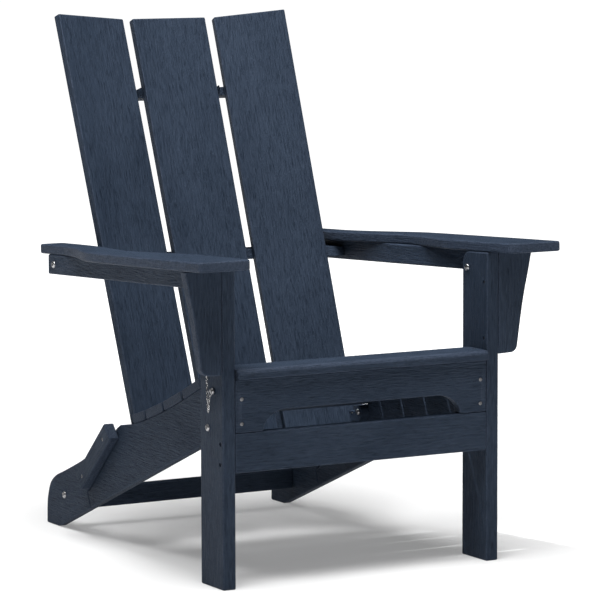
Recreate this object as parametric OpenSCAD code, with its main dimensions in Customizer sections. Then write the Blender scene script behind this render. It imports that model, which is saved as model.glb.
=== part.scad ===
// Folding adirondack chair in moulded plastic lumber, built from separate boards.
// Millimetres. Front faces -Y, +Z is up, origin on the floor under the middle of the bounding box.

/* [Overall] */
// Width over the outer faces of the two front legs
legs_w = 550; // [546:1:556]
// Lean of the back from vertical, in degrees
recline = 20.9; // [19:0.1:22]
// Distance from the front face of the legs to the origin, towards the rear
mid_y = 335; // [300:1:370]

/* [Front legs] */
// Thickness of a front leg board
leg_t = 24.3; // [20:0.1:25]
// Depth of a front leg, front to back
leg_d = 80.6; // [76:0.2:84]
// Radius of the rounded corner at the rear of the leg top
leg_r = 22; // [20:1:24]
// Height of the hinge bolt that joins leg and seat rail
leg_pivot_z = 272; // [270:1:274]
// Distance of that bolt behind the front face of the leg
leg_pivot_y = 53; // [50:1:56]

/* [Seat] */
// Thickness of a seat rail board
rail_t = 17.7; // [16:0.1:18]
// Thickness of a seat slat
slat_t = 17.5; // [15:0.5:19]
// Gap between neighbouring seat slats
slat_gap = 4.4; // [3:0.1:6]
// Thickness of the rounded front slat
nose_t = 17.5; // [16:0.5:21]
// Height of the top of the front apron
apron_top = 357.8; // [357:0.1:358]
// Height of the joint between upper and lower apron
apron_split = 266.6; // [260:0.2:270]
// Height of the underside of the lower apron
apron_low = 198.3; // [190:0.5:205]
// Thickness of the aprons
apron_t = 20; // [18:0.5:20]
// Height of the hand opening above the apron joint
hand_h = 35; // [30:1:38]

/* [Back] */
// Thickness of a back slat
back_t = 17; // [15:0.5:17]
// Width of the centre back slat at seat height
back_w = 146.8; // [140:0.2:148]
// Width of each outer back slat at seat height
side_w = 141.4; // [136:0.2:143]
// Length of the centre slat above the seat hinge region
back_up = 685; // [650:5:700]
// Length of the slats below the seat
back_down = 130; // [125:1:140]
// Inward turn of the outer slats, in degrees
side_turn = 9.15; // [7:0.05:10]
// Outward fan of the outer slats, in degrees
side_fan = 0.75; // [0.5:0.05:1]

/* [Arms] */
// Thickness of an arm board
arm_t = 17.5; // [15:0.5:20]
// Height of the rail under an arm board
arm_rail_h = 36; // [32:1:38]
// Thickness of the rail under an arm board
arm_rail_t = 22; // [18:0.5:23]
// Outer edge of an arm board from the middle of the chair
arm_out = 354; // [345:1:362]
// Drop of the arm from front to rear, per metre
arm_drop = 46.3; // [44:0.1:48]

/* [Hidden] */
$fn = 48;

navy = [0.17, 0.20, 0.26];
steel = [0.72, 0.73, 0.74];
e = 0.01;
leg_o = legs_w/2;                 // outer face of a leg
leg_i = leg_o - leg_t;            // inner face of a leg
ro = leg_i - 1.2;                 // outer face of a seat rail
ri = ro - rail_t;                 // inner face of a seat rail
rake = 0.4015;                    // slope of the seat rail's lower edge
low0 = 279.4;                     // height of that edge at the leg's front face
ad = arm_drop/1000;               // arm drop, per mm
arm_u0 = 547;                     // underside of the arm board above the leg's front face
aro = leg_o + 0.4 + arm_rail_t;   // outer face of the arm rail
pz = [53, 272];
lp = [leg_pivot_y, leg_pivot_z];  // leg hinge
pinp = [32, 337];                 // lock pin
ap = [65, 515];                   // arm hinge on the leg
dp = [603, 501];                  // bolt at the rear end of the arm
bp = [382, 220];                  // back hinge
ft = [668, 63];                   // bolt through the rear foot
seat_y = [57, 123.5, 193.5, 265.5, 334.5, 383];
seat_z = [358, 329.9, 299.4, 270.6, 247, 233];
rb0 = 470;                        // centre slat: front face at z = 300

module set() translate([0, -mid_y, 0]) children();
// a board lying in a side plane: outline in (y, z), from x0 to x1
module side(x0, x1) translate([x0, 0, 0]) rotate([90, 0, 90]) linear_extrude(x1 - x0) children();
// a round bar along X from x0 to x1 at (y, z)
module barx(x0, x1, p, r, f = 40) translate([x0, p[0], p[1]]) rotate([0, 90, 0]) cylinder(r = r, h = x1 - x0, $fn = f);
module both() { children(); mirror([1, 0, 0]) children(); }
// screw: head flush at the origin, pointing along -Z
module screw(l, r = 2.2, hr = 3.6, hh = 2.2) { translate([0, 0, -l]) cylinder(r = r, h = l, $fn = 24); translate([0, 0, -hh]) cylinder(r = hr, h = hh, $fn = 32); }
module screw_cut(l, r = 2.2, hr = 3.6, hh = 2.2) { translate([0, 0, -l - 0.4]) cylinder(r = r + 0.05, h = l + 1, $fn = 24); translate([0, 0, -hh - 0.02]) cylinder(r = hr + 0.05, h = hh + 1, $fn = 32); }

// ---------- seat frame ----------
rail_pts = concat([[apron_t + 0.3, low0 - rake*(apron_t + 0.3)], [apron_t + 0.3, seat_z[0]]],
  [for (i = [0:5]) [seat_y[i], seat_z[i]]],
  [[437, 224], [452, 216], [560, 89], [571, 84], [558, low0 - rake*558]]);
module rail_side() side(ri, ro) polygon(rail_pts);
foot_top = [[575, 147], [604, 134], [647, 117], [681, 104], [702, 97], [720, 87], [731, 76], [738, 61], [744, 41], [745, 0.2]];
module foot_side() side(ri, ro) polygon(concat([[558.6, low0 - rake*558.6], [571.8, 84.2], [563, 93]], foot_top, [[744.4, 0], [696, 0], [690, low0 - rake*690]]));
module seat_screw_at(i) // two screws a slat and rail
  for (f = [0.28, 0.72]) let (y = seat_y[i] + (seat_y[i + 1] - seat_y[i])*f, z = seat_z[i] + (seat_z[i + 1] - seat_z[i])*f,
      a = atan((seat_z[i] - seat_z[i + 1])/(seat_y[i + 1] - seat_y[i])))
    translate([(ro + ri)/2, y, z]) rotate([-a, 0, 0]) translate([0, 0, slat_t + 0.1]) children();
module nose_screw_at() for (y = [27, 46]) translate([(ro + ri)/2, y, apron_top + 0.2 + nose_t]) children();
module batten_at() translate([ro + 0.1, 511.4, 155.6]) rotate([-43.7 + 0.9, 0, 0]) children();
module splice_screw_at() batten_at() for (s = [-1, 1]) translate([20, s*58.5, 0]) rotate([0, 90, 0]) children();
module apron_screw_at() for (z = [324, 282]) translate([(ro + ri)/2 - 2.6, 0, z]) rotate([90, 0, 0]) children();

module seat_rail() color(navy) set() difference() {
  rail_side();
  barx(ri - 1, ro + 1, lp, 4.05);
  barx(ro - 8.6, ro + 1, pinp, 4.2);
  barx(ri - 1, ri + 12.4, bp, 4.05);
  for (i = [0:4]) seat_screw_at(i) screw_cut(38);
  nose_screw_at() screw_cut(44);
  splice_screw_at() screw_cut(30);
  apron_screw_at() screw_cut(48);
}
module rear_foot() color(navy) set() difference() {
  foot_side();
  splice_screw_at() screw_cut(30);
  barx(ri - 1, ro + 1, ft, 4.05);
}
module splice_batten() color(navy) set() difference() {
  batten_at() translate([0, -83.6, -17.2]) cube([20, 160.6, 34.4]);
  splice_screw_at() screw_cut(30);
}
module splice_screws() color(steel) set() both() splice_screw_at() screw(30);
module rear_stretcher() color(navy) set() difference() {
  translate([-ri + 0.1, ft[0] - 10, 35]) cube([2*ri - 0.2, 20, 37]);
  both() barx(ri - 42.4, ri + 1, ft, 4.05);
}
module rear_stretcher_bolts() color(steel) set() both() { barx(ri - 42, ro, ft, 4); barx(ro, ro + 3.2, ft, 6.6); }
module upper_apron() color(navy) set() difference() {
  translate([-leg_i + 0.5, 0, apron_split + 0.1]) cube([2*leg_i - 1, apron_t, apron_top - apron_split - 0.1]);
  translate([0, apron_t + 1, 0]) rotate([90, 0, 0]) linear_extrude(apron_t + 2)
    polygon(concat([[-200, apron_split - 1], [-200, apron_split]],
      [for (a = [0:6:90]) [-196 + 46*(1 - cos(a)) , apron_split + hand_h*sin(a)]],
      [for (a = [90:-6:0]) [196 - 46*(1 - cos(a)), apron_split + hand_h*sin(a)]],
      [[200, apron_split], [200, apron_split - 1]]));
  both() apron_screw_at() screw_cut(48);
}
module upper_apron_screws() color(steel) set() both() apron_screw_at() screw(48);
module nose_slat() color(navy) set() difference() {
  side(-ro, ro) union() {
    translate([-10, apron_top + 0.3]) square([seat_y[0] - slat_gap/2 + 10, nose_t - 8]);
    translate([-2, apron_top + 0.3]) square([seat_y[0] - slat_gap/2 + 2, nose_t]);
    translate([-2, apron_top + 0.3 + nose_t - 8]) circle(r = 8, $fn = 64);
  }
  both() nose_screw_at() screw_cut(44);
}
module seat_slat(i) color(navy) set() let (a = atan((seat_z[i] - seat_z[i + 1])/(seat_y[i + 1] - seat_y[i])),
    l = norm([seat_y[i + 1] - seat_y[i], seat_z[i + 1] - seat_z[i]])) difference() {
  translate([-ro, seat_y[i], seat_z[i]]) rotate([-a, 0, 0]) translate([0, slat_gap/2, 0.1]) cube([2*ro, l - slat_gap/(i == 4 ? 2 : 1), slat_t]);
  both() seat_screw_at(i) screw_cut(38);
}
module seat_slat_screws() color(steel) set() both() { for (i = [0:4]) seat_screw_at(i) screw(38); nose_screw_at() screw(44); }
module leg_pivot_bolts() color(steel) set() both() { barx(ri - 9, leg_o, lp, 4); barx(leg_o, leg_o + 3.2, lp, 6.2); }
module leg_pivot_nuts() color(steel) set() both() difference() { barx(ri - 8, ri - 0.05, lp, 7.5, 6); barx(ri - 10, ri + 1, lp, 4.05); }
module back_pivot_bolts() color(steel) set() both() { barx(ri - 21, ri + 12, bp, 4); barx(ri - 21, ri - 17.8, bp, 6.2); }

// ---------- front legs ----------
function under(y) = arm_u0 - ad*y;  // underside of the arm board
module lower_apron_screw_at() for (p = [[9, 249], [10, 214]]) translate([leg_o, p[0], p[1]]) rotate([0, 90, 0]) children();
module corbel_screw_at() for (p = [[11, 494], [11, 395]]) translate([leg_i, p[0], p[1]]) rotate([0, -90, 0]) children();
module chain_screw_at() translate([leg_o, 52, 374]) rotate([0, 90, 0]) children();
module front_leg() color(navy) set() difference() {
  side(leg_i, leg_o) intersection() {
    union() {
      square([leg_d, under(0) - 0.6 - leg_r - 2]);
      translate([0, 300]) square([leg_d - leg_r, 260]);
      translate([leg_d - leg_r, under(leg_d - leg_r) - 0.6 - leg_r]) circle(r = leg_r, $fn = 72);
    }
    polygon([[-1, 0], [leg_d + 1, 0], [leg_d + 1, under(leg_d + 1) - 0.6], [-1, under(-1) - 0.6]]);
  }
  barx(leg_i - 1, leg_o + 1, lp, 4.05);
  barx(leg_i - 1, leg_o + 1, ap, 4.05);
  barx(leg_i - 1, leg_o + 1, pinp, 4.05);
  lower_apron_screw_at() screw_cut(60);
  corbel_screw_at() screw_cut(60);
  chain_screw_at() screw_cut(14, 1.6, 3.2, 0.5);
}
module lower_apron() color(navy) set() difference() {
  translate([-leg_i + 0.1, 0, apron_low]) cube([2*leg_i - 0.2, apron_t, apron_split - apron_low - 0.1]);
  both() lower_apron_screw_at() screw_cut(60);
}
module lower_apron_screws() color(steel) set() both() lower_apron_screw_at() screw(60);
module corbel() color(navy) set() difference() {
  translate([0, 20, 0]) rotate([90, 0, 0]) linear_extrude(20)
    polygon(concat([[leg_o + 0.1, under(20) - 0.8], [leg_o + 0.1, 366.5], [leg_o + 26, 367.5]],
      [for (a = [-80:10:-10]) [leg_o + 26 + 14*cos(a), 381.5 + 14*sin(a)]],
      [[leg_o + 44, 410], [leg_o + 48.5, 441], [leg_o + 54.5, 476], [leg_o + 62.5, 511], [leg_o + 69, under(20) - 0.8]]));
  corbel_screw_at() screw_cut(60);
}
module corbel_screws() color(steel) set() both() corbel_screw_at() screw(60);
module arm_pivot_bolts() color(steel) set() both() { barx(leg_i, leg_o + 18, ap, 4); barx(leg_i - 3.2, leg_i, ap, 6.4); }
// chain that hangs from its screw and comes up to the lock pin's ring
module pin_chain() color(steel) set() for (i = [0:25]) let (t = i/25, y = 52 + (pinp[0] + 3 - 52)*t,
    z = 370 + (pinp[1] - 12 - 370)*t - 4*46*t*(1 - t)) barx(leg_o + 2.6 + 3.4*t, leg_o + 5 + 3.4*t, [y, z], 1.4, 16);
module chain_screws() color(steel) set() both() { chain_screw_at() translate([0, 0, 1.9]) screw(15.9, 1.6, 3.2, 1.9); }

// ---------- arms ----------
arm_out_e = [[aro, 660], [aro, 560], [303, 520], [316, 470], [334, 420], [349, 375], [arm_out, 335], [arm_out + 2, 200], [arm_out + 3, 60], [arm_out + 2, -40]];
arm_in_e = [[leg_i + 2.6, -44], [leg_i, 130], [257, 180], [268, 230], [278, 275], [284, 318], [280, 365], [270, 420], [260, 475], [254, 530], [251, 590], [251, 660]];
module arm_plane() translate([0, 0, arm_u0]) rotate([-atan(ad), 0, 0]) children();
module arm_screw_at() for (y = [110, 330, 560]) arm_plane() translate([leg_o + 0.4 + arm_rail_t/2, y, arm_t + 0.1]) children();
module arm_board() color(navy) set() difference() {
  arm_plane() translate([0, 0, 0.1]) linear_extrude(arm_t) polygon(concat(arm_out_e,
    [for (a = [0:15:90]) [arm_out + 2 - 8 + 8*cos(a), -67 - 8*sin(a)]],
    [for (a = [90:10:170]) [leg_i + 3 + 22 + 22*cos(a), -53 - 22*sin(a)]], arm_in_e));
  arm_screw_at() screw_cut(40);
}
module arm_rail() color(navy) set() difference() {
  side(leg_o + 0.4, aro) polygon([[22, under(22)], [627, under(627)], [627, under(627) - arm_rail_h], [22, under(22) - arm_rail_h]]);
  arm_screw_at() screw_cut(40);
  barx(leg_o - 1, leg_o + 18.4, ap, 4.05);
  barx(aro - 18.4, aro + 1, dp, 4.05);
}
module arm_board_screws() color(steel) set() both() arm_screw_at() screw(40);
module arm_end_bolts() color(steel) set() both() { barx(aro - 18, aro, dp, 4); barx(aro, aro + 3.2, dp, 6.4); }

// ---------- back ----------
module centre_at() translate([0, rb0, 300]) rotate([-recline, 0, 0]) children();
module side_at() translate([157.6, rb0 - 13.5, 300]) rotate([-recline - 0.15, 0, 0]) rotate([0, side_fan, 0]) rotate([0, 0, -side_turn]) children();
function tip(w, s, g) = w/2 + g*s/2;  // half width at height s
module slat_blank(w, g, up_i, up_o) translate([0, back_t, 0]) rotate([90, 0, 0]) linear_extrude(back_t)
  polygon([[-tip(w, -back_down, g), -back_down], [tip(w, -back_down, g), -back_down], [tip(w, up_o, g), up_o], [-tip(w, up_i, g), up_i]]);
module behind() { // everything in front of the slats' rear faces
  centre_at() translate([-82, -200, -400]) cube([164, 200 + back_t + 0.15, 1200]);
  both() side_at() translate([-84, -200, -400]) cube([226, 200 + back_t + 0.15, 1200]);
}
ru = 543.5; rl = -90;    // heights of the rails along the slats
// screws of the rails: heads on the rails' rear edges, points in the slats
module upper_screw_at() both() for (p = [[45], [116], [180]])
  centre_at() translate([p[0], 36, ru]) rotate([-90, 0, 0]) { children(0); if (p[0] < 100) children(1); if (p[0] > 100 && p[0] < 150) children(2); if (p[0] > 150) children(3); }
module middle_screw_at() both() for (p = [45, 116, 200])
  translate([p, 616, 502.5]) rotate([-90, 0, 0]) { children(0); if (p < 100) children(1); if (p > 100 && p < 150) children(2); if (p > 150) children(3); }
module none() {}
module long_screws() { upper_screw_at() { none(); screw(30); screw(34); screw(44); } middle_screw_at() { none(); screw(62); screw(69); screw(81); } }
module long_screw_cuts() { upper_screw_at() { none(); screw_cut(30); screw_cut(34); screw_cut(44); } middle_screw_at() { none(); screw_cut(62); screw_cut(69); screw_cut(81); } }
module low_screw_at() both() for (p = [[52, 33], [115, 38], [178, 48]])
  centre_at() translate([p[0], 38, rl]) rotate([-90, 0, 0]) children(p[1] == 33 ? 0 : p[1] == 38 ? 1 : 2);
module back_slat_side() color(navy) set() difference() {
  side_at() slat_blank(side_w, 0.0039, back_up + 4, back_up + 11);
  long_screw_cuts();
  low_screw_at() { screw_cut(33); screw_cut(38); screw_cut(48); }
  bracket_screw_at() screw_cut(30);
}
module back_slat_centre() color(navy) set() difference() {
  centre_at() slat_blank(back_w, 0.0093, back_up, back_up);
  long_screw_cuts();
  low_screw_at() { screw_cut(33); screw_cut(38); screw_cut(48); }
}
module upper_back_rail() color(navy) set() difference() {
  centre_at() translate([-198, -30, ru - 8.5]) cube([396, 66, 17]);
  behind();
  long_screw_cuts();
}
module middle_back_rail() color(navy) set() difference() {
  translate([-leg_o + 1, 500, 494]) cube([2*leg_o - 2, 116, 17]);
  behind();
  long_screw_cuts();
}
module lower_back_rail() color(navy) set() difference() {
  centre_at() translate([-195, -40, rl - 22]) cube([390, 78, 44]);
  behind();
  low_screw_at() { screw_cut(33); screw_cut(38); screw_cut(48); }
}
// screws through the slat into the back of the hinge bracket
module bracket_screw_at() for (s = [-97, -115]) side_at() translate([side_w/2 - 9.2, back_t, s]) rotate([-90, 0, 0]) children();
module hinge_bracket() color(navy) set() difference() {
  union() {
    barx(ri - 17.6, ri - 0.4, bp, 12, 64);
    side(ri - 17.6, ri - 0.4) polygon([[bp[0] - 10, bp[1] - 6], [bp[0], bp[1]], [bp[0] + 11, bp[1] - 0.5], [430, bp[1] - 2], [430, 183], [bp[0] + 4, 183]]);
  }
  side_at() translate([-150, -0.15, -400]) cube([300, 200, 800]);
  barx(ri - 19, ri + 1, bp, 4.05);
  bracket_screw_at() screw_cut(30);
}
module back_screws() color(steel) set() { long_screws(); low_screw_at() { screw(33); screw(38); screw(48); } }
module bracket_screws() color(steel) set() both() bracket_screw_at() screw(30);

// ---------- lock pins ----------
module lock_pin() color(steel) set() {
  barx(ro - 4, leg_o + 3, pinp, 4);
  barx(leg_o + 3, leg_o + 6, pinp, 6);
  translate([leg_o + 5.9, pinp[0], pinp[1] - 2.2]) rotate([0, 90, 0]) difference() { cylinder(r = 4.2, h = 1.6, $fn = 32); translate([0, 0, -1]) cylinder(r = 2.2, h = 4, $fn = 32); }
}

mirror([1, 0, 0]) seat_rail();  // seat_rail_left
seat_rail();  // seat_rail_right
mirror([1, 0, 0]) rear_foot();  // rear_foot_left
rear_foot();  // rear_foot_right
mirror([1, 0, 0]) splice_batten();  // splice_batten_left
splice_batten();  // splice_batten_right
splice_screws();
rear_stretcher();
rear_stretcher_bolts();
upper_apron();
upper_apron_screws();
nose_slat();
seat_slat(0);  // seat_slat_1
seat_slat(1);  // seat_slat_2
seat_slat(2);  // seat_slat_3
seat_slat(3);  // seat_slat_4
seat_slat(4);  // seat_slat_rear
seat_slat_screws();
leg_pivot_bolts();
leg_pivot_nuts();
back_pivot_bolts();
mirror([1, 0, 0]) front_leg();  // front_leg_left
front_leg();  // front_leg_right
lower_apron();
lower_apron_screws();
mirror([1, 0, 0]) corbel();  // corbel_left
corbel();  // corbel_right
corbel_screws();
arm_pivot_bolts();
mirror([1, 0, 0]) pin_chain();  // pin_chain_left
pin_chain();  // pin_chain_right
chain_screws();
mirror([1, 0, 0]) arm_board();  // arm_board_left
arm_board();  // arm_board_right
mirror([1, 0, 0]) arm_rail();  // arm_rail_left
arm_rail();  // arm_rail_right
arm_board_screws();
arm_end_bolts();
mirror([1, 0, 0]) back_slat_side();  // back_slat_left
back_slat_centre();
back_slat_side();  // back_slat_right
upper_back_rail();
middle_back_rail();
lower_back_rail();
mirror([1, 0, 0]) hinge_bracket();  // hinge_bracket_left
hinge_bracket();  // hinge_bracket_right
back_screws();
bracket_screws();
mirror([1, 0, 0]) lock_pin();  // lock_pin_left
lock_pin();  // lock_pin_right
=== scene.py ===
import bpy, bmesh, math, random
from mathutils import Matrix, Vector


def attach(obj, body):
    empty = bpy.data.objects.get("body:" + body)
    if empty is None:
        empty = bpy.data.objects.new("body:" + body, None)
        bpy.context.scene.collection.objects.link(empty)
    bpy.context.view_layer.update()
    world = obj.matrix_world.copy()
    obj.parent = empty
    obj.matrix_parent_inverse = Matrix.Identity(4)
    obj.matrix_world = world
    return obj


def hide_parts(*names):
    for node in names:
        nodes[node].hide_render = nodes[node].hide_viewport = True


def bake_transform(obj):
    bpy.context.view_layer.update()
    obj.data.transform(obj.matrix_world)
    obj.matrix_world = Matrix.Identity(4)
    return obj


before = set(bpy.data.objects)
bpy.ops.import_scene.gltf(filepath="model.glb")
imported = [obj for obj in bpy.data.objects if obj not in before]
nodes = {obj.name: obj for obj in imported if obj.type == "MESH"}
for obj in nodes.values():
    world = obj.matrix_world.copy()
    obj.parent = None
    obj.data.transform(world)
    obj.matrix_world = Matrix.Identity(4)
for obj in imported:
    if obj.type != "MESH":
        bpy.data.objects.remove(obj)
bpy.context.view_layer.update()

MY = 335.0  # the part's side sections are drawn from the legs' front face, in mm

def W(x, y, z):
    return Vector((x / 1000, (y - MY) / 1000, z / 1000))

# ------------------------------------------------------------------ camera
def make_camera():
    cam = bpy.data.cameras.new("camera")
    cam.lens = 3459.8 / 600 * 36
    cam.sensor_width = 36
    cam.clip_end = 100
    ob = bpy.data.objects.new("camera", cam)
    bpy.context.scene.collection.objects.link(ob)
    yaw, pit, rol = -0.516638, 0.115111, -0.002705
    fwd = Vector((math.sin(-yaw) * math.cos(pit), math.cos(yaw) * math.cos(pit), -math.sin(pit)))
    right = fwd.cross(Vector((0, 0, 1))).normalized()
    up = right.cross(fwd)
    c, s = math.cos(rol), math.sin(rol)
    r2, u2 = c * right + s * up, -s * right + c * up
    m = Matrix((r2, u2, -fwd)).transposed().to_4x4()
    m.translation = W(-2999.3, -5059.1, 1158.5)
    ob.matrix_world = m
    bpy.context.scene.camera = ob
make_camera()

# --------------------------------------------------------------- materials
def nt(mat):
    mat.use_nodes = True
    t = mat.node_tree
    return t, t.nodes, t.links, next(n for n in t.nodes if n.type == "BSDF_PRINCIPLED")

def board_material():
    """Moulded plastic lumber: long wavy embossed grain, fine short pores, worn paler edges."""
    mat = bpy.data.materials.new("navy_board")
    t, N, L, b = nt(mat)
    def add(kind, **kw):
        n = N.new(kind)
        for k, v in kw.items():
            setattr(n, k, v)
        return n
    at = add("ShaderNodeAttribute", attribute_name="gc")
    def scaled(v):
        m = add("ShaderNodeVectorMath", operation="MULTIPLY")
        m.inputs[1].default_value = v
        L.new(at.outputs["Vector"], m.inputs[0])
        return m.outputs[0]
    def noise(v, detail, rough=0.55, dist=0.0):
        n = add("ShaderNodeTexNoise")
        n.inputs["Scale"].default_value = 1.0
        n.inputs["Detail"].default_value = detail
        n.inputs["Roughness"].default_value = rough
        n.inputs["Distortion"].default_value = dist
        L.new(scaled(v), n.inputs["Vector"])
        return n.outputs[0]
    def maprange(x, a, bb, c, d):
        m = add("ShaderNodeMapRange")
        m.inputs[1].default_value, m.inputs[2].default_value = a, bb
        m.inputs[3].default_value, m.inputs[4].default_value = c, d
        L.new(x, m.inputs[0])
        return m.outputs[0]
    def math2(op, x, y):
        m = add("ShaderNodeMath", operation=op)
        for i, v in enumerate((x, y)):
            if isinstance(v, (int, float)):
                m.inputs[i].default_value = v
            else:
                L.new(v, m.inputs[i])
        return m.outputs[0]
    figure = noise((5.5, 34, 34), 2.0, 0.5, 0.6)          # broad wandering figure
    # growth lines: sine of the figure plus the position across the board
    sep = add("ShaderNodeSeparateXYZ"); L.new(at.outputs["Vector"], sep.inputs[0])
    ph = math2("ADD", math2("MULTIPLY", sep.outputs[1], 900.0), math2("MULTIPLY", figure, 34.0))
    ph = math2("ADD", ph, math2("MULTIPLY", sep.outputs[2], 700.0))
    lines = maprange(math2("SINE", ph, 0.0), -0.2, 1.0, 0.0, 1.0)
    fine = noise((46, 430, 430), 3.0, 0.62)               # fine long fibres
    pore = maprange(noise((48, 900, 900), 1.0, 0.5), 0.58, 0.72, 0.0, 1.0)   # short embossed pores
    patch = noise((5, 9, 9), 3.0, 0.6)                    # slow colour drift
    mott = noise((260, 260, 260), 2.0, 0.5)               # skin of the plastic
    mask = maprange(noise((4.5, 16, 16), 2.0), 0.38, 0.62, 0.25, 1.0)        # lines fade in and out
    lines = math2("MULTIPLY", lines, mask)
    h = math2("ADD", math2("MULTIPLY", fine, 0.9), math2("MULTIPLY", lines, 0.20))
    h = math2("SUBTRACT", h, math2("MULTIPLY", pore, 0.45))
    h = math2("ADD", h, math2("MULTIPLY", mott, 0.40))
    bump = add("ShaderNodeBump")
    bump.inputs["Strength"].default_value = 0.8
    bump.inputs["Distance"].default_value = 0.0021
    L.new(h, bump.inputs["Height"])
    L.new(bump.outputs[0], b.inputs["Normal"])
    ramp = add("ShaderNodeValToRGB")
    ramp.color_ramp.elements[0].position = 0.15
    ramp.color_ramp.elements[1].position = 0.95
    ramp.color_ramp.elements[0].color = (0.0056, 0.0116, 0.0229, 1)
    ramp.color_ramp.elements[1].color = (0.0387, 0.0545, 0.0842, 1)
    k = math2("ADD", math2("MULTIPLY", fine, 0.55), math2("MULTIPLY", patch, 0.45))
    k = math2("SUBTRACT", math2("ADD", k, math2("MULTIPLY", lines, 0.10)), math2("MULTIPLY", pore, 0.22))
    L.new(k, ramp.inputs[0])
    # rubbed edges are a little paler
    geo = add("ShaderNodeAttribute", attribute_name="edge")
    wear = math2("MULTIPLY", geo.outputs["Fac"], maprange(mott, 0.35, 0.65, 0.1, 0.5))
    mix = add("ShaderNodeMix", data_type="RGBA")
    L.new(wear, mix.inputs[0])
    L.new(ramp.outputs[0], mix.inputs[6])
    mix.inputs[7].default_value = (0.050, 0.064, 0.096, 1)
    L.new(mix.outputs[2], b.inputs["Base Color"])
    L.new(maprange(k, 0.2, 0.9, 0.66, 0.47), b.inputs["Roughness"])
    b.inputs["Specular IOR Level"].default_value = 0.09
    b.inputs["Sheen Weight"].default_value = 0.0
    return mat

def steel_material(name, col, rough, dark=0.72, spots=160):
    mat = bpy.data.materials.new(name)
    t, N, L, b = nt(mat)
    tc = N.new("ShaderNodeTexCoord")
    n = N.new("ShaderNodeTexNoise"); n.inputs["Scale"].default_value = 900; n.inputs["Detail"].default_value = 4
    L.new(tc.outputs["Object"], n.inputs["Vector"])
    n2 = N.new("ShaderNodeTexNoise"); n2.inputs["Scale"].default_value = spots; n2.inputs["Detail"].default_value = 2
    L.new(tc.outputs["Object"], n2.inputs["Vector"])
    r = N.new("ShaderNodeMapRange"); r.inputs[3].default_value = rough - 0.1; r.inputs[4].default_value = rough + 0.14
    L.new(n.outputs[0], r.inputs[0]); L.new(r.outputs[0], b.inputs["Roughness"])
    cr = N.new("ShaderNodeValToRGB")
    cr.color_ramp.elements[0].color = tuple(c * dark for c in col) + (1,)
    if dark < 0.5:
        cr.color_ramp.elements[0].position, cr.color_ramp.elements[1].position = 0.45, 0.56
    cr.color_ramp.elements[1].color = tuple(col) + (1,)
    L.new(n2.outputs[0], cr.inputs[0]); L.new(cr.outputs[0], b.inputs["Base Color"])
    bp = N.new("ShaderNodeBump"); bp.inputs["Strength"].default_value = 0.25; bp.inputs["Distance"].default_value = 0.0002
    L.new(n.outputs[0], bp.inputs["Height"]); L.new(bp.outputs[0], b.inputs["Normal"])
    b.inputs["Metallic"].default_value = 1.0
    return mat

NAVY = board_material()
STEEL = steel_material("hardware_steel", (0.42, 0.42, 0.43), 0.27)
CHAIN = steel_material("chain_steel", (0.80, 0.80, 0.80), 0.20, 0.12, 330)
GREY = steel_material("screw_grey", (0.25, 0.25, 0.26), 0.36)
DULL = steel_material("screw_dark", (0.16, 0.17, 0.19), 0.42)

# ------------------------------------------------------------ mesh helpers
ID = Matrix.Identity(4)
MIR = Matrix.Diagonal((-1, 1, 1, 1))
SIDE = Matrix(((0, 0, 1, 0), (1, 0, 0, 0), (0, 1, 0, 0), (0, 0, 0, 1)))     # (a, b, c) -> x = c, y = a, z = b
FRONT = Matrix(((1, 0, 0, 0), (0, 0, -1, 0), (0, 1, 0, 0), (0, 0, 0, 1)))   # (a, b, c) -> x = a, y = -c, z = b
def T(x, y, z): return Matrix.Translation((x, y, z))
def R(deg, ax): return Matrix.Rotation(math.radians(deg), 4, ax)
seed = random.Random(7)

def link(name, me, mat, body, node=None):
    ob = bpy.data.objects.new(name, me)
    bpy.context.scene.collection.objects.link(ob)
    me.materials.clear(); me.materials.append(mat)
    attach(ob, body)
    if node:
        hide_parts(*([node] if isinstance(node, str) else node))
    return ob

def cutter(holes):
    bm = bmesh.new()
    for p, d, r, depth in holes:
        d = Vector(d).normalized()
        q = Vector((0, 0, 1)).rotation_difference(d).to_matrix().to_4x4()
        seg = 28
        prof = [(0, -depth), (r, -depth), (r, 0.0), (r + 0.7, 0.45), (r + 0.7, 4.0), (0, 4.0)]
        rings = []
        for rr, h in prof:
            if rr == 0:
                rings.append([bm.verts.new(W(*(Vector(p) + q.to_3x3() @ Vector((0, 0, h)))))])
            else:
                rings.append([bm.verts.new(W(*(Vector(p) + q.to_3x3() @ Vector((rr * math.cos(2 * math.pi * i / seg), rr * math.sin(2 * math.pi * i / seg), h))))) for i in range(seg)])
        for a, b in zip(rings, rings[1:]):
            for i in range(seg):
                j = (i + 1) % seg
                if len(a) == 1:
                    bm.faces.new((a[0], b[j], b[i]))
                elif len(b) == 1:
                    bm.faces.new((a[i], a[j], b[0]))
                else:
                    bm.faces.new((a[i], a[j], b[j], b[i]))
    bmesh.ops.recalc_face_normals(bm, faces=bm.faces)
    me = bpy.data.meshes.new("cut"); bm.to_mesh(me); bm.free()
    ob = bpy.data.objects.new("cut", me)
    bpy.context.scene.collection.objects.link(ob)
    return ob

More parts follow.
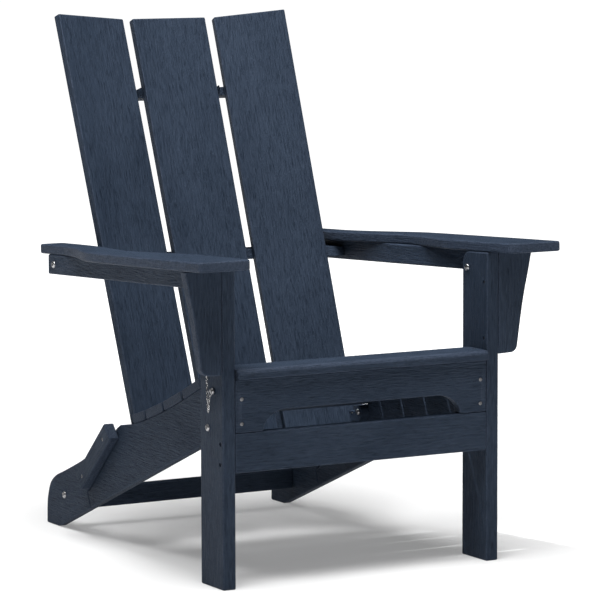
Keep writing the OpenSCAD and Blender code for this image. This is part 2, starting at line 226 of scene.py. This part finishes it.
def board(name, poly, M, c0, c1, along, body, node, holes=(), bev=2.6, segs=3):
    """A board cut to an outline (mm) in its own plane, with eased edges, drilled, and with its grain direction stored on it."""
    bm = bmesh.new()
    lo = [bm.verts.new((p[0], p[1], c0)) for p in poly]
    hi = [bm.verts.new((p[0], p[1], c1)) for p in poly]
    bm.faces.new(lo[::-1]); bm.faces.new(hi)
    n = len(poly)
    for i in range(n):
        j = (i + 1) % n
        bm.faces.new((lo[i], lo[j], hi[j], hi[i]))
    bmesh.ops.recalc_face_normals(bm, faces=bm.faces)
    sharp = [e for e in bm.edges if e.calc_face_angle(0) > math.radians(28)]
    res = bmesh.ops.bevel(bm, geom=sharp, offset=bev, offset_type="OFFSET", segments=segs, profile=0.5, affect="EDGES", clamp_overlap=True)
    eased = set(f.index for f in res["faces"]) if False else None
    for v in bm.verts:
        v.co = W(*(M @ v.co))
    if M.determinant() < 0:
        bmesh.ops.reverse_faces(bm, faces=bm.faces)
    bmesh.ops.recalc_face_normals(bm, faces=bm.faces)
    me = bpy.data.meshes.new(name); bm.to_mesh(me); bm.free()
    ob = link(name, me, NAVY, body, node)
    if holes:
        c = cutter(holes)
        m = ob.modifiers.new("drill", "BOOLEAN"); m.object = c; m.operation = "DIFFERENCE"; m.solver = "EXACT"
        dg = bpy.context.evaluated_depsgraph_get()
        new = bpy.data.meshes.new_from_object(ob.evaluated_get(dg))
        ob.modifiers.clear()
        ob.data = new
        bpy.data.objects.remove(c)
        new.materials.clear(); new.materials.append(NAVY)
    me = ob.data
    off = Vector((seed.uniform(0, 40), seed.uniform(0, 40), seed.uniform(0, 40)))
    inv = M.inverted()
    gc = me.attributes.new("gc", "FLOAT_VECTOR", "POINT")
    lo_ = [min(p[i] for p in poly) for i in (0, 1)]; hi_ = [max(p[i] for p in poly) for i in (0, 1)]
    vals = []
    for v in me.vertices:
        q = inv @ Vector((v.co.x * 1000, v.co.y * 1000 + MY, v.co.z * 1000))
        a, b, c = q / 1000
        g = (a, b, c) if along == "a" else (b, a, c) if along == "b" else (c, a, b)
        vals += [g[0] + off.x, g[1] + off.y, g[2] + off.z]
    gc.data.foreach_set("vector", vals)
    # edge wear: points on the eased corners
    ed = me.attributes.new("edge", "FLOAT", "POINT")
    area = {}
    for p in me.polygons:
        for vi in p.vertices:
            area[vi] = max(area.get(vi, 0), p.area)
    ed.data.foreach_set("value", [0.0 if area.get(v.index, 1) > 2.5e-3 else 1.0 for v in me.vertices])
    me.shade_smooth()
    me.set_sharp_from_angle(angle=math.radians(42))
    wn = ob.modifiers.new("normals", "WEIGHTED_NORMAL"); wn.keep_sharp = True; wn.weight = 80
    return ob

def lathe_at(bm, p, d, prof, seg=28, star=None):
    """Adds a turned shape: profile (radius, height) in mm, from p along d."""
    d = Vector(d).normalized()
    q = Vector((0, 0, 1)).rotation_difference(d).to_matrix()
    rings = []
    for k, (rr, h) in enumerate(prof):
        if rr == 0:
            rings.append([bm.verts.new(W(*(Vector(p) + q @ Vector((0, 0, h)))))])
        else:
            ring = []
            for i in range(seg):
                th = 2 * math.pi * i / seg
                f = 1.0
                if star and k >= star:
                    f = 1 + 0.14 * math.cos(6 * th)
                ring.append(bm.verts.new(W(*(Vector(p) + q @ Vector((rr * f * math.cos(th), rr * f * math.sin(th), h))))))
            rings.append(ring)
    for a, b in zip(rings, rings[1:]):
        for i in range(seg):
            j = (i + 1) % seg
            if len(a) == 1:
                bm.faces.new((a[0], b[i], b[j]))
            elif len(b) == 1:
                bm.faces.new((a[i], a[j], b[0]))
            else:
                bm.faces.new((a[i], a[j], b[j], b[i]))
    return bm

def finish_metal(name, bm, body, node, mat=None):
    bmesh.ops.recalc_face_normals(bm, faces=bm.faces)
    me = bpy.data.meshes.new(name); bm.to_mesh(me); bm.free()
    me.shade_smooth(); me.set_sharp_from_angle(angle=math.radians(40))
    return link(name, me, mat or STEEL, body, node)

def screws(name, items, body, node, mat=None):
    """Countersunk screws with a six-lobe drive; items are (point, outward direction, length)."""
    bm = bmesh.new()
    for p, d, l in items:
        lathe_at(bm, p, d, [(0, -l), (1.0, -l + 4), (2.2, -l + 9), (2.2, -3.6), (3.4, -1.2), (3.5, -0.8), (3.0, -0.5), (1.6, -0.45), (1.5, -1.7), (0, -1.8)], star=7)
    return finish_metal(name, bm, body, node, mat)

def bolts(name, items, body, node, r=6.2):
    bm = bmesh.new()
    for p, d, l in items:
        lathe_at(bm, p, d, [(0, -l), (3.2, -l), (4.0, -l + 1), (4.0, 0.02), (r, 0.02), (r, 0.7), (r * 0.93, 1.7), (r * 0.72, 2.6), (r * 0.46, 3.1), (r * 0.42, 3.05), (r * 0.40, 1.2), (0, 1.1)], star=9, seg=36)
    return finish_metal(name, bm, body, node)

def sides(pts):
    """Gives each (point, direction, ...) on the right and its mirror on the left."""
    out = []
    for it in pts:
        p, d = it[0], it[1]
        out += [(p, d) + tuple(it[2:]), ((-p[0], p[1], p[2]), (-d[0], d[1], d[2])) + tuple(it[2:])]
    return out
def mir(pts):
    return [((-p[0], p[1], p[2]), (-d[0], d[1], d[2])) + tuple(r) for p, d, *r in pts]
def drill(pts, r=3.7, depth=2.0):
    return [(p, d, r, depth) for p, d, *_ in pts]

def smooth(pts, closed=False, it=2):
    """Corner cutting, for the long curves of an outline (open run, ends kept)."""
    for _ in range(it):
        out = [pts[0]]
        for a, b in zip(pts, pts[1:]):
            out += [(a[0] * .75 + b[0] * .25, a[1] * .75 + b[1] * .25), (a[0] * .25 + b[0] * .75, a[1] * .25 + b[1] * .75)]
        out.append(pts[-1])
        pts = out
    return pts

# --------------------------------------------------------------- dimensions
leg_o, leg_t, leg_d, leg_r = 275.0, 24.3, 80.6, 22.0
leg_i = leg_o - leg_t
ro = leg_i - 1.2; ri = ro - 17.7
rake, low0 = 0.4015, 279.4
ad = 0.0463; u0 = 547.0
under = lambda y: u0 - ad * y
aro = leg_o + 0.4 + 22
lp, pinp, ap, dp, bp, ft = (53, 272), (32, 337), (65, 515), (603, 501), (382, 220), (668, 63)
seat_y = [57, 123.5, 193.5, 265.5, 334.5, 383]; seat_z = [358, 329.9, 299.4, 270.6, 247, 233]
slat_t, gap, nose_t, apron_t = 17.5, 4.4, 17.5, 20.0
xm = (ro + ri) / 2
LR = (("right", ID, 1), ("left", MIR, -1))

# ------------------------------------------------------------- seat frame
apron_scr = sides([((xm - 2.6, 0, z), (0, -1, 0), 46) for z in (324, 282)])
splice_base = T(ro + 0.1, 511.4, 155.6) @ R(-42.8, "X")
def bpoint(a, b, c): return tuple(splice_base @ Vector((a, b, c)))
splice_scr = sides([(bpoint(20, s * 58.5, 0), (1, 0, 0), 28) for s in (-1, 1)])
def seat_pt(i, f, x):
    y = seat_y[i] + (seat_y[i + 1] - seat_y[i]) * f; z = seat_z[i] + (seat_z[i + 1] - seat_z[i]) * f
    a = math.atan2(seat_z[i] - seat_z[i + 1], seat_y[i + 1] - seat_y[i])
    nrm = Vector((0, math.sin(a), math.cos(a)))
    p = Vector((x, y, z)) + nrm * (slat_t + 0.1)
    return tuple(p), tuple(nrm)
seat_scr = {i: sides([seat_pt(i, f, xm) + (36,) for f in (0.28, 0.72)]) for i in range(5)}
nose_scr = sides([((xm, y, 358.1 + nose_t), (0, 0, 1), 42) for y in (27, 46)])
rail_pts = [(20.3, low0 - rake * 20.3), (20.3, 358)] + list(zip(seat_y, seat_z)) + [(437, 224), (452, 216), (560, 89), (571, 84), (558, low0 - rake * 558)]
foot_pts = [(558.6, low0 - rake * 558.6), (571.8, 84.2), (563, 93), (575, 147)] + smooth([(604, 134), (647, 117), (681, 104), (702, 97), (720, 87), (731, 76), (738, 61), (744, 41), (745, 3)], it=2) + [(744.4, 0), (696, 0), (690, low0 - rake * 690)]
for nm, MM, sg in LR:
    S = MM @ SIDE
    board("seat_rail_" + nm, rail_pts, S, ri, ro, "a", "seat_frame", "seat_rail_" + nm)
    board("rear_foot_" + nm, foot_pts, S, ri, ro, "a", "seat_frame", "rear_foot_" + nm)
    board("splice_batten_" + nm, [(-83.6, -17.2), (77, -17.2), (77, 17.2), (-83.6, 17.2)], MM @ splice_base @ SIDE, 0, 20, "a", "seat_frame", "splice_batten_" + nm,
          drill([s for s in splice_scr if s[0][0] * sg > 0]))
screws("splice_screw_heads", splice_scr, "seat_frame", "splice_screws", GREY)
board("rear_stretcher_board", [(-ri + 0.1, 35), (ri - 0.1, 35), (ri - 0.1, 72), (-ri + 0.1, 72)], T(0, ft[0], 0) @ FRONT, -10, 10, "a", "seat_frame", "rear_stretcher")
bolts("rear_stretcher_bolt_heads", sides([((ro, ft[0], ft[1]), (1, 0, 0), 58)]), "seat_frame", "rear_stretcher_bolts", 6.6)
hand = [(-196 + 46 * (1 - math.cos(math.radians(a))), 266.7 + 35 * math.sin(math.radians(a))) for a in range(0, 91, 6)]
hand += [(-x, z) for x, z in hand[::-1]]
board("upper_apron_board", [(-leg_i + 0.5, 266.7)] + hand + [(leg_i - 0.5, 266.7), (leg_i - 0.5, 357.8), (-leg_i + 0.5, 357.8)], FRONT, -apron_t, 0, "a", "seat_frame", "upper_apron", drill(apron_scr))
screws("upper_apron_screw_heads", apron_scr, "seat_frame", "upper_apron_screws", GREY)
nose = [(-10, 358.1)] + [(-2 - 8 * math.cos(math.radians(a)), 358.1 + nose_t - 8 + 8 * math.sin(math.radians(a))) for a in range(0, 91, 6)] + [(54.8, 358.1 + nose_t), (54.8, 358.1)]
board("nose_slat_board", nose, SIDE, -ro, ro, "c", "seat_frame", "nose_slat", drill(nose_scr), bev=2.2)
allseat = list(nose_scr)
for i in range(5):
    l = math.hypot(seat_y[i + 1] - seat_y[i], seat_z[i + 1] - seat_z[i])
    a = math.degrees(math.atan2(seat_z[i] - seat_z[i + 1], seat_y[i + 1] - seat_y[i]))
    end = l - (0 if i == 4 else gap / 2)
    M = T(0, seat_y[i], seat_z[i]) @ R(-a, "X") @ SIDE
    nm = ["seat_slat_1", "seat_slat_2", "seat_slat_3", "seat_slat_4", "seat_slat_rear"][i]
    board(nm + "_board", [(gap / 2, 0.1), (end, 0.1), (end, slat_t + 0.1), (gap / 2, slat_t + 0.1)], M, -ro, ro, "c", "seat_frame", nm, drill(seat_scr[i]))
    allseat += seat_scr[i]
screws("seat_slat_screw_heads", allseat, "seat_frame", "seat_slat_screws", GREY)
bolts("leg_pivot_bolt_heads", sides([((leg_o, lp[0], lp[1]), (1, 0, 0), 52)]), "seat_frame", "leg_pivot_bolts", 6.2)
bolts("back_pivot_bolt_heads", sides([((ri - 17.7, bp[0], bp[1]), (-1, 0, 0), 29)]), "seat_frame", "back_pivot_bolts", 6.0)
bm = bmesh.new()
for sg in (1, -1):
    lathe_at(bm, (sg * (ri - 0.05), lp[0], lp[1]), (-sg, 0, 0), [(4.0, 0), (7.0, 0), (7.5, 0.5), (7.5, 5.2), (6.6, 6.0), (5.4, 6.1), (5.2, 8.2), (4.2, 9.8), (2.4, 10.8), (0, 11.1)], seg=6 * 5)
finish_metal("leg_pivot_cap_nuts", bm, "seat_frame", "leg_pivot_nuts")

# ------------------------------------------------------------- front legs
lap_scr = sides([((leg_o, y, z), (1, 0, 0), 58) for y, z in ((9, 249), (10, 214))])
cor_scr = sides([((leg_i, y, z), (-1, 0, 0), 58) for y, z in ((11, 494), (11, 395))])
chain_top = (leg_o, 52, 374)
zt = under(leg_d - leg_r) - 0.6 - leg_r
leg_pts = [(0, 0), (leg_d, 0)] + [(leg_d - leg_r + leg_r * math.cos(math.radians(a)), zt + leg_r * math.sin(math.radians(a))) for a in range(0, 88, 5)] + [(0, under(0) - 0.6)]
for nm, MM, sg in LR:
    mine = lambda pts: [s for s in pts if s[0][0] * sg > 0]
    board("front_leg_" + nm, leg_pts, MM @ SIDE, leg_i, leg_o, "b", "front_legs", "front_leg_" + nm, drill(mine(lap_scr), 3.7, 4.0) + drill(mine(cor_scr), 3.7, 4.0))
    cor = [(leg_o + 0.1, under(20) - 0.8), (leg_o + 0.1, 366.5), (leg_o + 26, 367.5)] + [(leg_o + 26 + 14 * math.cos(math.radians(a)), 381.5 + 14 * math.sin(math.radians(a))) for a in range(-80, -9, 10)] + \
        smooth([(leg_o + 44, 410), (leg_o + 48.5, 441), (leg_o + 54.5, 476), (leg_o + 62.5, 511), (leg_o + 69, under(20) - 0.8)], it=1)
    board("corbel_" + nm, cor, MM @ FRONT, -20, 0, "b", "front_legs", "corbel_" + nm)
board("lower_apron_board", [(-leg_i + 0.1, 198.3), (leg_i - 0.1, 198.3), (leg_i - 0.1, 266.5), (-leg_i + 0.1, 266.5)], FRONT, -apron_t, 0, "a", "front_legs", "lower_apron")
deep = lambda pts: [((p[0] - 1.6 * d[0], p[1], p[2]), d, l) for p, d, l in pts]
screws("lower_apron_screw_heads", deep(lap_scr), "front_legs", "lower_apron_screws", DULL)
screws("corbel_screw_heads", deep(cor_scr), "front_legs", "corbel_screws", DULL)
bolts("arm_pivot_bolt_heads", sides([((leg_i, ap[0], ap[1]), (-1, 0, 0), 42)]), "front_legs", "arm_pivot_bolts", 6.4)

# ------------------------------------------------------------------- arms
arm_out = 354.0
o_run = smooth([(aro, 560), (303, 520), (316, 470), (334, 420), (349, 375), (arm_out, 335), (arm_out + 2, 200)], it=2)
i_run = smooth([(leg_i, 130), (257, 180), (268, 230), (278, 275), (284, 318), (280, 365), (270, 420), (260, 475), (254, 530), (251, 590)], it=2)
arm_pts = [(aro, 660)] + o_run + [(arm_out + 3, 60), (arm_out + 2, -40)] + [(arm_out + 2 - 8 + 8 * math.cos(math.radians(a)), -67 - 8 * math.sin(math.radians(a))) for a in range(0, 91, 15)] + [(leg_i + 3 + 22 + 22 * math.cos(math.radians(a)), -53 - 22 * math.sin(math.radians(a))) for a in range(90, 175, 10)] + [(leg_i + 2.6, -44)] + i_run + [(251, 660)]
plane = T(0, 0, u0) @ R(-math.degrees(math.atan(ad)), "X")
arm_scr = sides([(tuple(plane @ Vector((leg_o + 11.4, y, 17.6))), tuple(plane.to_3x3() @ Vector((0, 0, 1))), 38) for y in (110, 330, 560)])
for nm, MM, sg in LR:
    board("arm_board_" + nm, arm_pts, MM @ plane, 0.1, 17.6, "b", "arms", "arm_board_" + nm, drill([s for s in arm_scr if s[0][0] * sg > 0]), bev=3.2, segs=4)
    board("arm_rail_" + nm, [(22, under(22)), (627, under(627)), (627, under(627) - 36), (22, under(22) - 36)], MM @ SIDE, leg_o + 0.4, aro, "a", "arms", "arm_rail_" + nm)
screws("arm_board_screw_heads", arm_scr, "arms", "arm_board_screws", DULL)
bolts("arm_end_bolt_heads", sides([((aro, dp[0], dp[1]), (1, 0, 0), 17)]), "arms", "arm_end_bolts", 6.4)

# ------------------------------------------------------------------- back
rec, fan, turn, bt = 20.9, 0.75, 9.15, 17.0
CEN = T(0, 470, 300) @ R(-rec, "X")
SID = T(157.6, 456.5, 300) @ R(-rec - 0.15, "X") @ R(fan, "Y") @ R(-turn, "Z")
UPR = Matrix(((1, 0, 0, 0), (0, 0, 1, 0), (0, 1, 0, 0), (0, 0, 0, 1)))  # (a, b, c) -> x = a, y = c, z = b
def slat(w, g, up_i, up_o, dn=130):
    t = lambda s: w / 2 + g * s / 2
    return [(-t(-dn), -dn), (t(-dn), -dn), (t(up_o), up_o), (-t(up_i), up_i)]
ru, rl = 543.5, -90
board("back_slat_centre_board", slat(146.8, 0.0093, 685, 685), CEN @ UPR, 0, bt, "b", "backrest", "back_slat_centre")
for nm, MM, sg in LR:
    board("back_slat_" + nm + "_board", slat(141.4, 0.0039, 689, 696), MM @ SID @ UPR, 0, bt, "b", "backrest", "back_slat_" + nm)

# the three rails are the CAD solids' shapes with eased edges: their front edges follow the turned slats
def eased_copy(node, name, body, along, bev=2.0):
    src = nodes[node].data
    bm = bmesh.new(); bm.from_mesh(src)
    bmesh.ops.remove_doubles(bm, verts=bm.verts, dist=1e-6)
    bmesh.ops.dissolve_limit(bm, angle_limit=math.radians(2), verts=bm.verts, edges=bm.edges)
    long_e = [e for e in bm.edges if len(e.link_faces) == 2 and e.calc_face_angle(0) > math.radians(25) and e.calc_length() > 0.012]
    bmesh.ops.bevel(bm, geom=long_e, offset=bev / 1000, offset_type="OFFSET", segments=3, profile=0.5, affect="EDGES", clamp_overlap=True)
    me = bpy.data.meshes.new(name); bm.to_mesh(me); bm.free()
    ob = link(name, me, NAVY, body, node)
    gc = me.attributes.new("gc", "FLOAT_VECTOR", "POINT")
    off = [seed.uniform(0, 40) for _ in range(3)]
    vals = []
    for v in me.vertices:
        c = v.co
        g = (c.x, c.y, c.z) if along == "x" else (c.z, c.x, c.y) if along == "z" else (c.y, c.x, c.z)
        vals += [g[k] + off[k] for k in range(3)]
    gc.data.foreach_set("vector", vals)
    ed = me.attributes.new("edge", "FLOAT", "POINT")
    me.shade_smooth(); me.set_sharp_from_angle(angle=math.radians(42))
    wn = ob.modifiers.new("normals", "WEIGHTED_NORMAL"); wn.keep_sharp = True; wn.weight = 80
    return ob
for n in ("upper_back_rail", "middle_back_rail", "lower_back_rail"):
    eased_copy(n, n + "_board", "backrest", "x")
for n in ("hinge_bracket_left", "hinge_bracket_right"):
    eased_copy(n, n + "_block", "backrest", "y", 1.5)

ups, mids, lows = [], [], []
for x, xu, l1, l2 in ((45, 45, 30, 62), (116, 116, 34, 69), (200, 180, 44, 81)):
    ups.append((tuple(CEN @ Vector((xu, 36, ru))), tuple(CEN.to_3x3() @ Vector((0, 1, 0))), l1))
    mids.append(((x, 616, 502.5), (0, 1, 0), l2))
for x, l in ((52, 33), (115, 38), (178, 48)):
    lows.append((tuple(CEN @ Vector((x, 38, rl))), tuple(CEN.to_3x3() @ Vector((0, 1, 0))), l))
screws("back_screw_heads", sides(ups) + sides(mids) + sides(lows), "backrest", "back_screws")
brk = [(tuple(SID @ Vector((141.4 / 2 - 9.2, bt, s))), tuple(SID.to_3x3() @ Vector((0, 1, 0))), 28) for s in (-97, -115)]
screws("bracket_screw_heads", sides(brk), "backrest", "bracket_screws")

# --------------------------------------------------- lock pins and chains
for nm, sg in (("right", 1), ("left", -1)):
    bm = bmesh.new()
    lathe_at(bm, (sg * leg_o, pinp[0], pinp[1]), (sg, 0, 0), [(0, -32), (2.6, -31.6), (4.0, -29.5), (4.0, 0.6), (5.4, 0.7), (5.9, 1.4), (5.9, 3.6), (5.2, 4.8), (3.2, 5.7), (0, 6.0)], seg=32)
    # split ring through the head
    n, m = 40, 10
    ring = []
    for i in range(n):
        th = 2 * math.pi * i / n
        cy, cz = pinp[0] + 4.6 * math.sin(th), pinp[1] - 3.4 + 4.6 * math.cos(th)
        row = []
        for j in range(m):
            ph = 2 * math.pi * j / m
            rr = 0.62 * math.cos(ph)
            row.append(bm.verts.new(W(sg * (leg_o + 6.6 + 0.62 * math.sin(ph)), cy + rr * math.sin(th), cz + rr * math.cos(th))))
        ring.append(row)
    for i in range(n):
        for j in range(m):
            a, b = ring[i], ring[(i + 1) % n]
            bm.faces.new((a[j], a[(j + 1) % m], b[(j + 1) % m], b[j]))
    finish_metal("lock_pin_" + nm + "_body", bm, "pin_" + nm, "lock_pin_" + nm)
    # twisted link chain from its screw to the ring
    def path(t):
        y = chain_top[1] + (pinp[0] + 3 - chain_top[1]) * t
        z = 371 + (pinp[1] - 9 - 371) * t - 4 * 46 * t * (1 - t)
        return Vector((sg * (leg_o + 2.6 + 4.0 * t), y, z))
    pts = [path(i / 400) for i in range(401)]
    acc = [0.0]
    for a, b in zip(pts, pts[1:]):
        acc.append(acc[-1] + (b - a).length)
    total = acc[-1]; cnt = 20; pitch = total / cnt
    bm = bmesh.new()
    k = 0
    for i in range(cnt):
        s = (i + 0.5) * pitch
        while acc[k + 1] < s: k += 1
        c = pts[k].lerp(pts[k + 1], (s - acc[k]) / (acc[k + 1] - acc[k]))
        tan = (pts[min(k + 6, 400)] - pts[max(k - 6, 0)]).normalized()
        side = tan.cross(Vector((1, 0, 0))).normalized()
        nrm = tan.cross(side).normalized()
        u = side if i % 2 == 0 else nrm
        w = tan.cross(u).normalized()
        n, m = 18, 6
        rows = []
        for a in range(n):
            th = 2 * math.pi * a / n
            L_, S_ = pitch * 0.64, 1.35
            dirn = (tan * math.cos(th) * L_ + u * math.sin(th) * S_)
            rad = dirn.normalized()
            row = []
            for j in range(m):
                ph = 2 * math.pi * j / m
                q = c + dirn + rad * 0.5 * math.cos(ph) + w * 0.5 * math.sin(ph)
                row.append(bm.verts.new(W(*q)))
            rows.append(row)
        for a in range(n):
            for j in range(m):
                x, y = rows[a], rows[(a + 1) % n]
                bm.faces.new((x[j], x[(j + 1) % m], y[(j + 1) % m], y[j]))
    bmesh.ops.recalc_face_normals(bm, faces=bm.faces)
    me = bpy.data.meshes.new("chain_" + nm); bm.to_mesh(me); bm.free()
    me.shade_smooth()
    ob = bpy.data.objects.new("pin_chain_" + nm + "_links", me)
    bpy.context.scene.collection.objects.link(ob)
    me.materials.append(CHAIN)
    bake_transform(ob)
    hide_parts("pin_chain_" + nm)
bm = bmesh.new()
for sg in (1, -1):
    lathe_at(bm, (sg * leg_o, chain_top[1], chain_top[2]), (sg, 0, 0), [(0, -14), (1.5, -12), (1.5, 0), (1.5, 0.9), (3.2, 1.0), (3.3, 1.5), (2.4, 2.2), (1.3, 2.4), (1.2, 1.4), (0, 1.3)], star=8)
finish_metal("chain_screw_heads", bm, "front_legs", "chain_screws")

for n, ob in nodes.items():
    if ob.data.materials is not None:
        steel = any(w in n for w in ("screws", "bolts", "nuts", "chain", "lock_pin"))
        ob.data.materials.clear(); ob.data.materials.append(STEEL if steel else NAVY)

# ------------------------------------------------------------------ studio
def studio():
    me = bpy.data.meshes.new("floor")
    bm = bmesh.new()
    n = 48
    c = bm.verts.new((0, 0, 0))
    rings = [[bm.verts.new((r * math.cos(2 * math.pi * i / n), r * math.sin(2 * math.pi * i / n), 0)) for i in range(n)] for r in (1.5, 6, 40)]
    for i in range(n):
        bm.faces.new((c, rings[0][i], rings[0][(i + 1) % n]))
        for a, b in zip(rings, rings[1:]):
            bm.faces.new((a[i], b[i], b[(i + 1) % n], a[(i + 1) % n]))
    bm.to_mesh(me); bm.free()
    fl = bpy.data.objects.new("floor", me)
    bpy.context.scene.collection.objects.link(fl)
    mat = bpy.data.materials.new("floor")
    t, N, L, b = nt(mat)
    b.inputs["Base Color"].default_value = (0.56, 0.56, 0.56, 1); b.inputs["Roughness"].default_value = 0.75
    # the sheet glows softly away from the part, so it stays even and pale where the lamps fall off
    tc = N.new("ShaderNodeTexCoord")
    ln = N.new("ShaderNodeVectorMath"); ln.operation = "LENGTH"
    mr = N.new("ShaderNodeMapRange"); mr.interpolation_type = "SMOOTHSTEP"
    mr.inputs[1].default_value, mr.inputs[2].default_value, mr.inputs[3].default_value, mr.inputs[4].default_value = 0.5, 3.2, 0.26, 1.03
    L.new(tc.outputs["Object"], ln.inputs[0]); L.new(ln.outputs["Value"], mr.inputs[0]); L.new(mr.outputs[0], b.inputs["Emission Strength"])
    b.inputs["Emission Color"].default_value = (1, 1, 1, 1)
    me.materials.append(mat)
    world = bpy.data.worlds.new("world"); bpy.context.scene.world = world
    world.use_nodes = True
    t, N, L = world.node_tree, world.node_tree.nodes, world.node_tree.links
    bg = next(n for n in N if n.type == "BACKGROUND")
    bg.inputs[0].default_value = (0.985, 0.99, 1.0, 1)
    bg.inputs[1].default_value = 0.03
    bpy.context.scene.view_settings.view_transform = "Standard"
    def area(name, loc, size, power, target=(0, 0, 0.45), col=(1, 1, 1)):
        l = bpy.data.lights.new(name, "AREA"); l.shape = "RECTANGLE"; l.size, l.size_y = size; l.energy = power; l.color = col
        o = bpy.data.objects.new(name, l); bpy.context.scene.collection.objects.link(o)
        o.location = loc
        o.rotation_euler = (Vector(target) - Vector(loc)).to_track_quat("-Z", "Y").to_euler()
    area("top", (-0.66, -0.89, 5.33), (3.2, 3.2), 610)
    area("left_rear", (-2.57, 1.64, 4.42), (1.1, 1.1), 36)
    # a narrow lamp over the seat: its light falls through the gaps between the seat slats
    sp = bpy.data.lights.new("seat", "SPOT"); sp.energy = 1900; sp.shadow_soft_size = 0.06; sp.spot_size = math.radians(4.4); sp.spot_blend = 1.0
    o = bpy.data.objects.new("seat", sp); bpy.context.scene.collection.objects.link(o)
    aim, frm = W(231, 225, 270), Vector((-2.6, 1.72, 4.6))
    o.location = frm; o.rotation_euler = (aim - frm).to_track_quat("-Z", "Y").to_euler()
studio()
